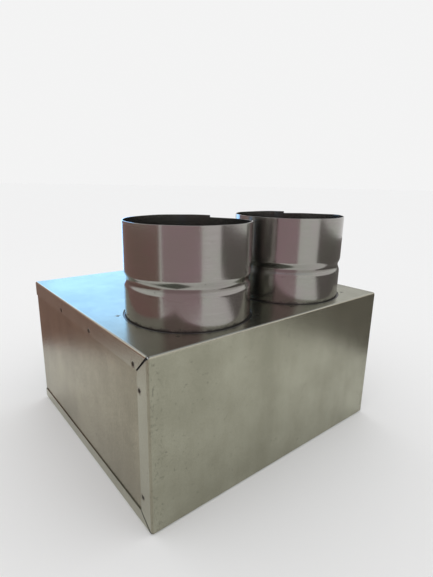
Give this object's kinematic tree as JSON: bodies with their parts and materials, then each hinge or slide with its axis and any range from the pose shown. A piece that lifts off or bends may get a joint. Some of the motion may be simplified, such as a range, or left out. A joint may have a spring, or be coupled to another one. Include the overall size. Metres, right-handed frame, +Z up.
{
  "type": "grille plenum box",
  "caption": "Folded sheet metal plenum box, open at the back for a grille, with a pair of beaded round spigots on top for flexible duct.",
  "frame": {"origin": "middle of the bounding box's bottom face, on the surface that the box stands on", "axes": "+X along the long front from the left end to the right end, +Y from the closed front to the open mouth, +Z up along the spigots"},
  "size_m": [0.203, 0.184, 0.1635],
  "materials": {
    "casing_sheet": "dull galvanised sheet, softly mottled",
    "end_plate_sheet": "dull galvanised sheet",
    "spigot_sheet": "bright galvanised sheet, glossier than the box"
  },
  "bodies": {
    "root": {"casing": "casing_sheet", "left_end_plate": "end_plate_sheet", "right_end_plate": "end_plate_sheet", "left_spigot": "spigot_sheet", "right_spigot": "spigot_sheet"}
  },
  "joints": []
}
